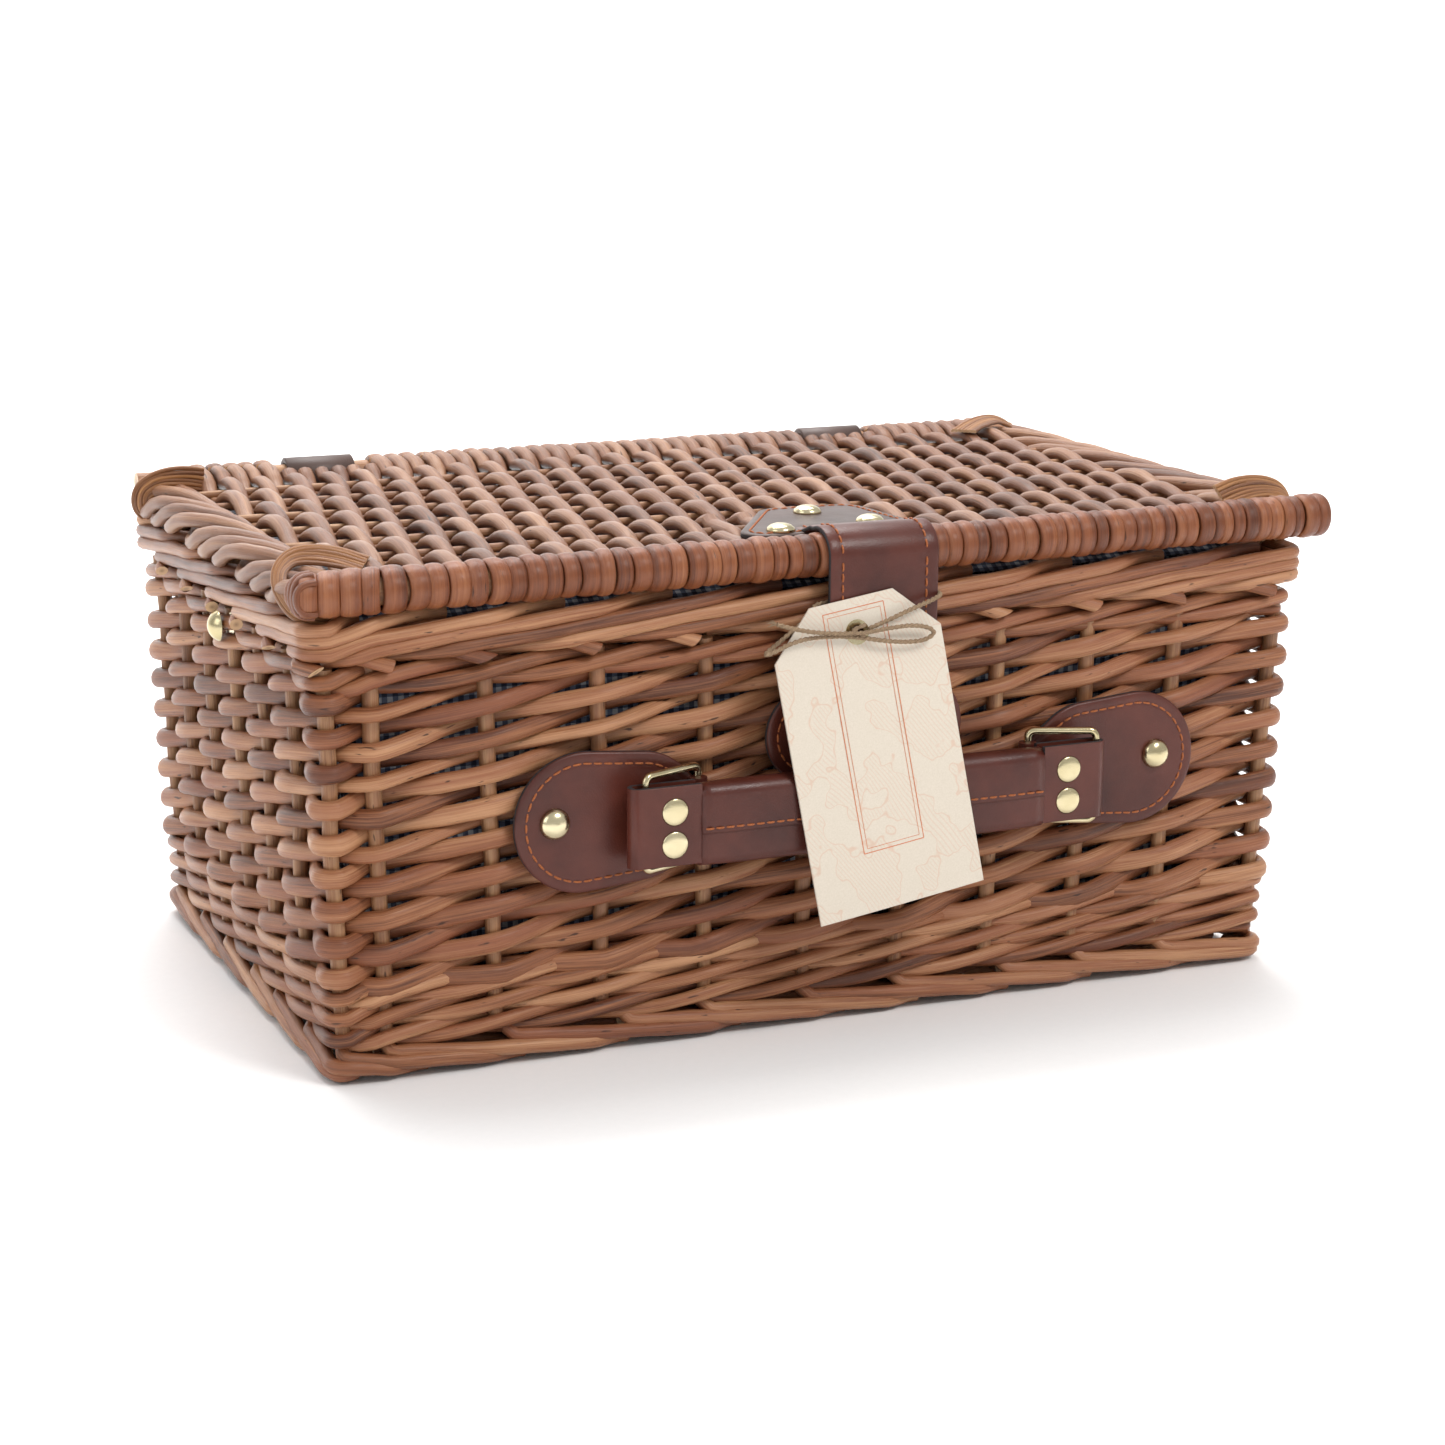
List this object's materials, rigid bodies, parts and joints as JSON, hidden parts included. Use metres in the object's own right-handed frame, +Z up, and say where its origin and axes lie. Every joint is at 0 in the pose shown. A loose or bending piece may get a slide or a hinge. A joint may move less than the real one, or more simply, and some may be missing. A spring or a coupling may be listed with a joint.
{
  "type": "wicker picnic basket",
  "caption": "Rectangular woven willow picnic basket with a hinged lid on a wrapped frame, a leather strap closure, a leather handle on brass rings and a paper hang tag.",
  "frame": {"origin": "centre of the foot border's flat underside, on the table", "axes": "+X to the right along the front wall, +Y from the front wall to the hinged back wall, +Z up; the lid, handle and strap face -Y at the front"},
  "size_m": [0.416, 0.2797, 0.1937],
  "materials": {
    "willow": "satin",
    "willow_sticks": "satin",
    "willow_wraps": "satin",
    "leather": "satin",
    "brass": "polished",
    "magnet_steel": "satin",
    "gingham": "matte",
    "fibreboard": "matte",
    "tag_card": "matte",
    "twine": "matte"
  },
  "bodies": {
    "basket": {"foot_border": "willow", "base_panel": "willow", "base_sticks": "willow_sticks", "lower_wale": "willow", "side_weave": "willow", "stakes": "willow_sticks", "upper_wale": "willow", "rim_border": "willow", "side_lining": "gingham", "floor_lining": "gingham", "hinge_strap_left": "leather", "hinge_strap_right": "leather", "hinge_rivets": "brass", "catch_patch": "leather", "catch_magnet": "magnet_steel", "patch_left": "leather", "patch_right": "leather", "patch_rivets": "brass", "side_stud_left": "brass", "side_stud_right": "brass"},
    "lid": {"front_stick": "willow_sticks", "front_wraps": "willow_wraps", "back_stick": "willow_sticks", "back_wraps": "willow_wraps", "lid_sticks": "willow_sticks", "lid_weave": "willow", "lid_border_left": "willow", "lid_border_right": "willow", "whip_front_left": "willow_sticks", "whip_front_right": "willow_sticks", "whip_back_left": "willow_sticks", "whip_back_right": "willow_sticks", "lid_lining": "gingham", "strap_head": "leather", "strap_rivets": "brass"},
    "strap": {"strap_flap": "leather", "flap_magnet": "magnet_steel"},
    "tag": {"tag_card": "tag_card", "tag_eyelet": "brass", "tag_twine": "twine"},
    "handle": {"handle_grip": "leather", "handle_core": "fibreboard", "keeper_left": "leather", "keeper_right": "leather", "handle_rivets": "brass"},
    "ring_left": {"ring_left": "brass"},
    "ring_right": {"ring_right": "brass"}
  },
  "joints": [
    {"name": "lid_hinge", "type": "hinge", "parent": "basket", "child": "lid", "pos_m": [0, 0.1206, 0.1812], "axis": [-1, 0, 0], "range_deg": [0, 100]},
    {"name": "strap_flap", "type": "hinge", "parent": "lid", "child": "strap", "pos_m": [0.0085, -0.13065, 0.1812], "axis": [-1, 0, 0], "range_deg": [0, 105]},
    {"name": "tag_tilt", "type": "hinge", "parent": "strap", "child": "tag", "pos_m": [-0.001, -0.13065, 0.1665], "axis": [-1, 0, 0], "range_deg": [0, 9.2]},
    {"name": "handle_pull", "type": "slide", "parent": "basket", "child": "handle", "axis": [0, -1, 0], "range_m": [0, 0.01]},
    {"name": "ring_left_turn", "type": "hinge", "parent": "basket", "child": "ring_left", "pos_m": [-0.0595, -0.1256, 0.09], "axis": [0, 0, 1], "range_deg": [0, 26.5]},
    {"name": "ring_right_turn", "type": "hinge", "parent": "basket", "child": "ring_right", "pos_m": [0.0765, -0.1256, 0.09], "axis": [0, 0, -1], "range_deg": [0, 26.5]}
  ],
  "couplings": [
    {"joint": "ring_left_turn", "follows": "handle_pull", "rad_per_m": 45.38},
    {"joint": "ring_right_turn", "follows": "handle_pull", "rad_per_m": 45.38},
    {"joint": "tag_tilt", "follows": "handle_pull", "rad_per_m": 15.7}
  ]
}
